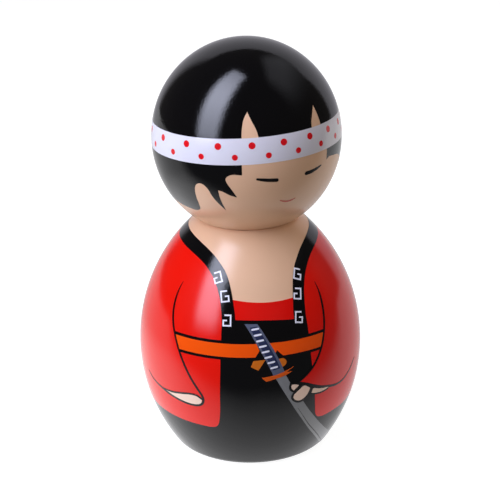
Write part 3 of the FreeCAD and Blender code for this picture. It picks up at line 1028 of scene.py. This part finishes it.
def make_band():
    film("forehead_band", EGG, [band_ring(BAND_BOTTOM)], 1, WHITE, holes=[band_ring(BAND_TOP)])
    dots = make_dot_tree()
    rows = (("upper_dots", 105.15, 1.0, -5.2), ("lower_dots", 102.0, 0.87, 4.2))
    for name, height, radius, first in rows:
        piece = grown(name, guide_mesh(f"{name}_start", [(0.0, 0.0, height)]), dots, {
            "Dots": 19, "Dot Radius": radius * MM, "First Dot": math.radians(first), "Drift": 0.14,
            "Row Height": height * MM, "Slope": BAND_SLOPE, "Lean": math.radians(BAND_LEAN),
            **pressed_values(EGG, 2, DOT_RED)})
        settle(piece, "head")


def make_face():
    right_eye = stroke(EGG, [(-2.5, 95.25), (0.6, 94.95), (4.2, 94.7), (9.0, 94.5)], (0.7, 1.0, 1.1, 1.1))
    left_eye = stroke(
        EGG, [(28.6, 95.0), (32.6, 95.15), (36.6, 95.55), (40.4, 96.1)], (1.2, 1.15, 0.95, 0.45))
    smile = stroke(
        EGG, [(12.9, 87.4), (15.6, 86.9), (18.6, 86.7), (21.4, 86.9), (23.7, 87.3)],
        (0.35, 0.58, 0.62, 0.58, 0.3))
    film("closed_eyes", EGG, [right_eye, left_eye], 1, BLACK)
    film("mouth", EGG, [smile], 1, LIP)


make_hair()
make_band()
make_face()


# ------------------------------------------------------------------ clothes
LAPEL_INSIDE = [
    (15.6, 48.0), (16.2, 53.5), (17.2, 56.5), (18.8, 59.6), (21.0, 62.5), (24.2, 64.9), (28.9, 66.8),
    (35.5, 68.6), (44.2, 70.0), (55.8, 71.1), (69.3, 71.8), (83.0, 72.2), (100.0, 72.4), (125.0, 72.5),
    (150.0, 72.5), (180.0, 72.5),
]
LAPEL_OUTSIDE = [
    (23.2, 48.0), (23.3, 51.5), (23.9, 54.2), (25.2, 57.2), (27.2, 59.8), (29.8, 61.9), (33.0, 63.6),
    (37.5, 65.2), (43.2, 66.5), (51.5, 67.6), (62.0, 68.4), (74.0, 68.9), (88.0, 69.2), (105.0, 69.4),
    (125.0, 69.5), (150.0, 69.5), (180.0, 69.5),
]
COAT_FRONT = [
    (23.2, 38.0), (23.2, 47.0), (22.6, 53.0), (23.6, 57.5), (26.0, 61.2), (29.8, 64.4), (36.5, 66.9),
    (45.0, 68.6), (58.0, 69.8), (76.0, 70.6), (110.0, 70.9), (150.0, 71.0), (180.0, 71.0),
]
LEFT_COAT_CORNER = [(33.0, 16.9), (30.4, 17.2), (28.4, 17.9), (27.0, 19.4), (26.0, 22.5), (24.9, 28.0)]
RIGHT_COAT_CORNER = [(30.6, 16.9), (28.0, 17.2), (26.0, 18.2), (24.8, 20.6), (24.0, 24.5), (23.6, 30.0)]
HEM_HEIGHT = 16.9


def across_the_back(points):
    """The same places on the doll's right, met by going on round the back, in the opposite order."""
    return [(360.0 - point[0], *point[1:]) for point in reversed(points)]


def round_the_back(points):
    """Continue a run that ends at the back, round to the other front edge."""
    return run_through(points + across_the_back(points)[1:], closed=False)


def make_clothes():
    neckline = [(-19.0, 58.2), (-9.0, 57.6), (0.0, 57.3), (9.0, 57.3), (19.0, 57.6)]
    trim_line = [(angle, height + 0.4) for angle, height in neckline]
    foot = [(19.0, 51.6, "sharp"), (0.0, 52.5), (-19.0, 52.8, "sharp")]
    ends = {0, len(neckline) - 1}
    shirt = [(*point, "sharp") if i in ends else point for i, point in enumerate(neckline)]
    trim = [(*point, "sharp") if i in ends else point for i, point in enumerate(trim_line)]
    film("neckline_trim", FLANK, [shape(*trim, *foot)], 0, PEACH)
    film("undershirt", FLANK, [shape(*shirt, *foot)], 1, SHIRT_RED)
    upper = COAT_FRONT + across_the_back(COAT_FRONT)[1:]
    edge = run_through(LEFT_COAT_CORNER + upper + across_the_back(RIGHT_COAT_CORNER), closed=False)
    hem = [(angle, HEM_HEIGHT) for angle in np.arange(edge[-1][0] - 0.6, edge[0][0] + 0.3, -0.6)]
    film("coat", FLANK, [np.concatenate([edge, hem])], 1, RED)
    lapels = np.concatenate([round_the_back(LAPEL_INSIDE), round_the_back(LAPEL_OUTSIDE)[::-1]])
    film("collar_and_lapels", FLANK, [lapels], 2, BLACK)


def make_scrolls():
    """Square scrolls up both lapels, each handed the opposite way to the one below it."""
    tree = make_scroll_tree()
    left_lapel = [(19.0, 52.0, -12.0, 1.0), (21.2, 58.3, -15.0, -1.0), (25.2, 63.2, -26.0, 1.0)]
    right_lapel = [(-20.6, 52.5, 2.0, -1.0), (-22.9, 58.9, 11.0, 1.0), (-29.3, 63.5, 24.0, -1.0)]
    for name, hand in (("left_handed_scrolls", 1.0), ("right_handed_scrolls", -1.0)):
        places = [place for place in left_lapel + right_lapel if place[3] == hand]
        points = on_surface(FLANK, places)
        guide = guide_mesh(f"{name}_points", points, joined=False, spins=[place[2] for place in places])
        piece = grown(name, guide, tree, {
            "Scroll Width": 2.2 * MM, "Scroll Height": 3.1 * MM, "Stroke": 0.46 * MM,
            "Opening": 0.3 * MM, "Hand": hand, **pressed_values(FLANK, 3, BRIGHT_WHITE)})
        settle(piece, "body")


RIGHT_SLEEVE = [
    (-53.6, 60.5), (-54.8, 57.8), (-55.0, 54.8), (-54.3, 51.8), (-52.5, 48.5), (-49.9, 45.3),
    (-46.2, 41.0), (-41.8, 36.3), (-38.2, 32.8), (-35.2, 30.2), (-33.3, 28.5), (-32.5, 27.0),
    (-33.4, 25.4), (-35.8, 24.5), (-39.5, 24.15), (-45.0, 24.3), (-52.5, 25.0), (-60.0, 26.0),
    (-67.5, 27.1), (-73.0, 28.8),
]
RIGHT_CUFF = [
    (-60.0, 26.0), (-52.1, 26.4), (-46.5, 27.1), (-40.1, 27.95), (-36.2, 27.95), (-33.2, 27.0),
]
LEFT_SLEEVE = [
    (35.9, 59.9), (36.5, 57.5), (36.2, 54.6), (35.0, 50.4), (33.3, 46.8), (30.6, 42.6), (27.1, 38.9),
    (23.7, 36.3), (20.2, 34.5), (17.0, 33.1), (14.8, 32.2),
]
LEFT_CUFF = [
    (11.2, 32.5), (14.1, 32.4), (19.0, 31.5), (24.9, 29.7), (29.4, 28.5), (35.1, 27.5), (40.7, 26.9),
    (45.5, 27.1), (49.8, 28.1), (53.5, 29.4), (58.0, 31.6),
]


def make_sleeves():
    """The sleeves' outlines, and the red of the left one where it laps over the coat's edge."""
    lap = [
        (*LEFT_SLEEVE[5], "sharp"), *LEFT_SLEEVE[6:-1], (*LEFT_SLEEVE[-1], "sharp"),
        *LEFT_CUFF[2:5], (33.0, 27.9, "sharp"), (33.0, 42.6, "sharp"),
    ]
    film("left_sleeve_lap", FLANK, [shape(*lap)], 3, RED)
    even = 0.72
    lines = [
        stroke(FLANK, RIGHT_SLEEVE, (0.12, 0.55, *[even] * 14, 0.6, 0.45, 0.12)),
        stroke(FLANK, LEFT_SLEEVE, (0.12, 0.55, *[even] * 8, 0.45)),
        stroke(FLANK, LEFT_CUFF, (0.6, 0.8, 0.8, 0.85, 0.9, 0.85, 0.7, 0.6, 0.55, 0.45, 0.2)),
        stroke(FLANK, RIGHT_CUFF, (0.3, 0.55, 0.6, 0.6, 0.6, 0.6)),
    ]
    film("sleeve_lines", FLANK, lines, 5, BLACK)


def make_hands():
    right_hand = shape((-58.5, 26.0, "sharp"), (-52.1, 26.4), (-46.5, 27.1), (-40.1, 27.95), (-36.0, 27.9),
                       (-33.6, 26.9), (-34.4, 25.2), (-39.0, 24.3), (-45.0, 24.4), (-52.5, 25.1))
    film("right_hand", FLANK, [right_hand], 3, HAND)
    thumb = shape((11.9, 32.0), (13.6, 32.0), (15.6, 31.5, "sharp"), (14.4, 30.8), (12.8, 30.1, "sharp"),
                  (11.7, 30.9))
    finger = shape((18.6, 30.9), (20.4, 30.3), (21.9, 29.6, "sharp"), (21.2, 28.5), (19.9, 27.3),
                   (17.9, 26.4), (15.9, 26.1), (14.0, 26.6), (12.8, 27.6), (13.3, 28.6), (15.6, 29.8))
    palm = shape((23.9, 29.0), (27.5, 28.3), (33.9, 27.5, "sharp"), (31.4, 27.1), (28.3, 27.0),
                 (25.4, 27.2), (22.9, 27.6, "sharp"))
    outlines = [border(FLANK, thumb, 0.75), border(FLANK, finger, 0.75), border(FLANK, palm, 0.6)]
    film("left_hand_outline", FLANK, outlines, 6, BLACK)
    film("left_hand", FLANK, [thumb, finger, palm], 7, HAND)


def make_belt():
    edging = corners(
        (-51.0, 46.6), (-6.0, 46.85), (33.2, 46.6), (29.6, 40.95), (-6.0, 41.15), (-46.1, 40.95))
    film("belt_edging", FLANK, [edging], 3, BLACK)
    right_part = corners((-50.3, 45.75), (-5.2, 46.0), (-3.8, 43.9), (-5.9, 42.0), (-46.8, 41.8))
    left_part = corners((-2.0, 46.0), (32.7, 45.75), (30.2, 41.8), (7.9, 41.9), (5.0, 43.7), (3.4, 42.2),
                        (0.0, 42.0))
    film("belt", FLANK, [right_part, left_part], 4, ORANGE)
    tail = corners((-6.9, 40.9), (-1.0, 41.1), (-4.6, 37.9), (-8.2, 39.1))
    loop = shape((3.0, 40.3), (8.1, 41.0), (9.5, 40.1), (9.1, 39.1), (7.6, 38.5), (5.0, 38.4))
    film("belt_knot", FLANK, [tail, loop], 4, KNOT_ORANGE)


def make_sword():
    scabbard = shape(
        (3.0, 36.0, "sharp"), (6.3, 31.9), (11.1, 26.4), (17.5, 19.8), (26.3, 12.5), (38.3, 5.4),
        (48.0, 1.3, "sharp"), (62.0, 1.3, "sharp"), (48.4, 6.6), (38.5, 10.9), (30.5, 15.5), (23.2, 20.9),
        (18.3, 25.5), (11.6, 32.2), (8.6, 36.0, "sharp"))
    film("scabbard", FLANK, [scabbard], 2, SCABBARD)
    groove = [(15.6, 23.4), (18.8, 20.2), (22.8, 16.5), (27.6, 13.0), (39.6, 6.0), (49.0, 1.8)]
    film("scabbard_line", FLANK, [stroke(FLANK, groove, (0.1, 0.3, 0.3, 0.3))], 3, GROOVE)
    hilt = shape(
        (-11.2, 51.7, "sharp"), (-8.4, 49.3), (-5.0, 45.7), (-1.7, 41.9), (1.4, 37.8), (2.7, 35.8, "sharp"),
        (8.8, 35.8, "sharp"), (7.6, 38.0), (4.8, 42.1), (1.6, 45.9), (-2.1, 49.7), (-4.3, 51.6, "sharp"))
    film("sword_hilt", FLANK, [hilt], 6, STEEL_BLUE)
    cord = shape(
        (-8.4, 50.7, "sharp"), (-6.6, 48.7), (-3.9, 45.7), (-0.6, 41.9), (2.6, 37.6, "sharp"),
        (6.2, 38.1, "sharp"), (3.6, 42.1), (0.4, 45.9), (-2.9, 49.3), (-4.6, 50.9, "sharp"))
    film("hilt_cord", FLANK, [cord], 7, NAVY)
    middle = on_surface(FLANK, [(-5.6, 50.2), (-3.3, 46.8), (0.4, 41.9), (3.1, 38.5)])
    wraps = grown("hilt_wraps", guide_mesh("hilt_middle", middle), make_bar_tree(), {
        "Bars": 8, "Bar Length": 2.35 * MM, "Bar Width": 0.58 * MM, "Spin": math.radians(9.0),
        **pressed_values(FLANK, 8, BRIGHT_WHITE)})
    settle(wraps, "body")
    guard = shape(
        (-3.0, 35.5, "sharp"), (2.4, 35.9), (8.0, 36.8), (13.0, 37.9, "sharp"), (9.6, 36.6),
        (12.2, 36.6, "sharp"), (8.6, 35.6), (4.0, 34.9), (-0.9, 34.2, "sharp"))
    film("sword_guard", FLANK, [guard], 8, GUARD_ORANGE)


make_clothes()
make_scrolls()
make_sleeves()
make_belt()
make_sword()
make_hands()


# ------------------------------------------------------------------ studio
AZIMUTH = -8.3          # the camera stands this many degrees round from the body's front
ELEVATION = 21.37       # and this many above level
CAMERA_ROLL = -1.03
CAMERA_DISTANCE = 3.03  # in heights of the doll, as are the two places it aims at
AIM_HEIGHT = 0.4815
AIM_ASIDE = 0.0033
LENS, SENSOR = 90.0, 36.0

ROOM = 0.06             # what reflections and soft light find where no card stands
SOFTBOX = 9.0           # how strongly each card glows
BACKDROP = 0.55
SIDE = 0.42
FILLS = (
    ("left_fill", -75.0, 1.1, (0.86, 0.93, 1.0)),
    ("front_fill", 5.0, 0.82, (1.0, 0.90, 0.78)),
    ("right_fill", 112.0, 1.6, (1.0, 0.90, 0.78)),
)
FLOOR_REACH = 3.0       # metres
FLOOR_DROP = 0.1        # millimetres below the pad, so that the two never share a plane


def make_camera():
    height = cad_box[1][2] - cad_box[0][2]
    azimuth, elevation = math.radians(AZIMUTH), math.radians(ELEVATION)
    level = math.cos(elevation)
    back = Vector((math.sin(azimuth) * level, -math.cos(azimuth) * level, math.sin(elevation)))
    right = Vector((math.cos(azimuth), math.sin(azimuth), 0.0))
    aim = Vector((0.0, 0.0, AIM_HEIGHT * height)) + AIM_ASIDE * height * right
    data = bpy.data.cameras.new("camera")
    data.lens = LENS
    data.sensor_width = SENSOR
    camera = placed("camera", data)
    facing = back.to_track_quat("Z", "Y").to_matrix().to_4x4()
    roll = Matrix.Rotation(math.radians(CAMERA_ROLL), 4, "Z")
    camera.matrix_world = Matrix.Translation(aim + CAMERA_DISTANCE * height * back) @ facing @ roll
    bpy.context.scene.camera = camera
    bpy.context.scene.view_settings.view_transform = "Standard"


def make_feather_group():
    """A mask that fades out towards the edges of a card's own sheet."""
    tree, source, sink = group_tree("feathered_edges", "ShaderNodeTree", [
        ("Sheet", VECTOR, None),
        ("Across", FLOAT, 0.2),
        ("Along", FLOAT, 0.2),
        ("Hot Middle", FLOAT, 0.0),
    ], [("Mask", FLOAT)])
    where = split_xyz(tree, source.outputs["Sheet"])
    masks = []
    for axis, width in (("X", "Across"), ("Y", "Along")):
        from_middle = calc(tree, "ABSOLUTE", calc(tree, "SUBTRACT", where[axis], 0.5))
        from_edge = calc(tree, "SUBTRACT", 0.5, from_middle)
        masks.append(between(tree, from_edge, 0.0, source.outputs[width], 0.0, 1.0, "SMOOTHSTEP"))
    off_centre = calc(tree, "SUBTRACT", where["Y"], 0.48)
    squared = calc(tree, "MULTIPLY", off_centre, off_centre)
    bell = calc(tree, "EXPONENT", calc(tree, "MULTIPLY", squared, -14.0))
    shade = calc(tree, "MULTIPLY", calc(tree, "SUBTRACT", bell, 1.0), source.outputs["Hot Middle"])
    mask = calc(tree, "MULTIPLY", masks[0], masks[1])
    tree.links.new(calc(tree, "MULTIPLY", mask, calc(tree, "ADD", shade, 1.0)), sink.inputs["Mask"])
    return tree


FEATHER = make_feather_group()


def card(name, corner, across, along, colour, strength, feather, hot_middle=0.0, mirrored=True):
    """A glowing studio card that the camera never sees, and reflections only if it is mirrored."""
    mesh = bpy.data.meshes.new(name)
    corner, across, along = Vector(corner), Vector(across), Vector(along)
    mesh.from_pydata([corner, corner + across, corner + across + along, corner + along], [], [(0, 1, 2, 3)])
    sheet = mesh.uv_layers.new(name="sheet")
    for loop, place in zip(sheet.data, ((0, 0), (1, 0), (1, 1), (0, 1))):
        loop.uv = place
    material = bpy.data.materials.new(name)
    material.use_nodes = True
    tree = material.node_tree
    tree.nodes.clear()
    place = put(tree, "ShaderNodeUVMap", uv_map="sheet").outputs[0]
    mask = use_group(tree, FEATHER, {
        "Sheet": place, "Across": feather[0], "Along": feather[1], "Hot Middle": hot_middle})
    glow = put(tree, "ShaderNodeEmission", {"Color": (*colour, 1.0), "Strength": strength})
    clear = put(tree, "ShaderNodeBsdfTransparent")
    sheer = put(tree, "ShaderNodeMixShader", {0: mask.outputs[0], 1: clear.outputs[0], 2: glow.outputs[0]})
    output = put(tree, "ShaderNodeOutputMaterial")
    tree.links.new(sheer.outputs[0], output.inputs[0])
    mesh.materials.append(material)
    piece = placed(name, mesh)
    piece.visible_camera = False
    piece.visible_shadow = False
    piece.visible_glossy = mirrored


def round_about(angle, distance, height):
    """A studio place by angle from the body's front, distance and height, in metres."""
    turn = math.radians(angle)
    return Vector((distance * math.sin(turn), -distance * math.cos(turn), height))


def make_world():
    """White to the camera, nearly dark to everything else."""
    world = bpy.data.worlds.new("studio")
    bpy.context.scene.world = world
    world.use_nodes = True
    tree = world.node_tree
    tree.nodes.clear()
    seen = put(tree, "ShaderNodeLightPath").outputs["Is Camera Ray"]
    room = put(tree, "ShaderNodeBackground", {"Color": (1.0, 0.92, 0.88, 1.0), "Strength": ROOM})
    white = put(tree, "ShaderNodeBackground", {"Color": (1.0, 1.0, 1.0, 1.0), "Strength": 1.0})
    both = put(tree, "ShaderNodeMixShader", {0: seen, 1: room.outputs[0], 2: white.outputs[0]})
    output = put(tree, "ShaderNodeOutputWorld")
    tree.links.new(both.outputs[0], output.inputs[0])


def make_lights():
    low = round_about(-55.0, 0.52, 0.07)
    high = round_about(-90.0, 0.04, 0.88)
    along = high - low
    inward = (Vector((0.0, 0.0, 0.06)) - (low + high) / 2).normalized()
    across = along.cross(inward).normalized() * 0.28
    card("tall_softbox", low - across / 2, across, along, (0.76, 0.80, 1.0), SOFTBOX, (0.3, 0.15),
         hot_middle=0.5)
    left = round_about(-143.0, 0.62, 0.0)
    right = round_about(114.0, 1.0, 0.0)
    card("backdrop_card", right, left - right, (0.0, 0.0, 0.70), (0.93, 0.91, 1.0), BACKDROP, (0.15, 0.06))
    near = round_about(52.0, 0.5, 0.26)
    far = round_about(145.0, 0.55, 0.26)
    card("side_card", far, near - far, (-0.10, 0.0, 0.80), (0.93, 0.92, 1.0), SIDE, (0.35, 0.4))
    for name, angle, strength, colour in FILLS:
        start = round_about(angle - 30.0, 0.8, 0.05)
        end = round_about(angle + 30.0, 0.8, 0.05)
        card(name, start, end - start, (0.0, 0.0, 0.65), colour, strength, (0.2, 0.2), mirrored=False)


def make_floor():
    """A pale table, white to the camera.

    Reflections and soft light see a painted glow instead: painted shade that darkens it towards the front,
    and a painted pool of light behind and to the doll's right; soft light takes half as much again from it.
    """
    mesh = bpy.data.meshes.new("floor")
    square = ((-1, -1), (1, -1), (1, 1), (-1, 1))
    places = [(x * FLOOR_REACH, y * FLOOR_REACH, -FLOOR_DROP * MM) for x, y in square]
    mesh.from_pydata(places, [], [(0, 1, 2, 3)])
    material = bpy.data.materials.new("white_table")
    material.use_nodes = True
    tree = material.node_tree
    shader = tree.nodes["Principled BSDF"]
    place = put(tree, "ShaderNodeTexCoord").outputs["Object"]
    tint = mixed(tree, noise(tree, place, 300.0, 3.0), (0.30, 0.30, 0.30, 1.0), (0.32, 0.32, 0.32, 1.0))
    tree.links.new(tint, shader.inputs["Base Color"])
    shader.inputs["Roughness"].default_value = 0.7
    shader.inputs["Specular IOR Level"].default_value = 0.0
    shader.inputs["Emission Color"].default_value = (1.0, 1.0, 1.0, 1.0)
    shader.inputs["Emission Strength"].default_value = 0.93
    where = split_xyz(tree, place)
    # painted shade: the glow that reflections and soft light see fades towards the front of the table
    spread = calc(tree, "MULTIPLY_ADD", calc(tree, "ABSOLUTE", where["X"]), -0.2, where["Y"])
    clear = between(tree, spread, -0.100, -0.025, 0.08, 0.70, "SMOOTHSTEP")
    # painted light: a pool of glow on the table behind and to the doll's right
    hot = put(tree, "ShaderNodeVectorMath", {0: place, 1: (-0.085, 0.02, 0.0)}, operation="DISTANCE")
    painted_light_pool = between(tree, hot.outputs["Value"], 0.12, 0.02, 0.0, 0.50, "SMOOTHSTEP")
    bounce = calc(tree, "ADD", clear, painted_light_pool)
    path = put(tree, "ShaderNodeLightPath")
    soft = calc(tree, "MULTIPLY_ADD", path.outputs["Is Diffuse Ray"], 0.5, 1.0)
    bounce = calc(tree, "MULTIPLY", bounce, soft)
    glow = put(tree, "ShaderNodeEmission", {"Color": (0.98, 0.98, 1.0, 1.0), "Strength": bounce})
    both = put(tree, "ShaderNodeMixShader", {
        0: path.outputs["Is Camera Ray"], 1: glow.outputs[0], 2: shader.outputs[0]})
    material.cycles.emission_sampling = "NONE"
    tree.links.new(both.outputs[0], tree.nodes["Material Output"].inputs[0])
    mesh.materials.append(material)
    placed("floor", mesh)


make_camera()
make_world()
make_lights()
make_floor()

# ------------------------------------------------------------------ carried-over pieces
CARRIED = {
    "base_pad": felt("black_felt", (0.018, 0.018, 0.02)),
    "neck_collar": felt("tan_felt", (0.30, 0.17, 0.11)),
    "neck_peg": bare_wood("peg_beech", (0.62, 0.42, 0.24), (0.46, 0.29, 0.15)),
    "base_plug": bare_wood("plug_limewood", (0.66, 0.48, 0.30), (0.52, 0.35, 0.20)),
    "retaining_washer": zinc_steel("washer_zinc"),
    "retaining_screw": zinc_steel("screw_zinc"),
}
for node, material in CARRIED.items():
    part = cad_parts[node]
    part.data.materials.clear()
    part.data.materials.append(material)
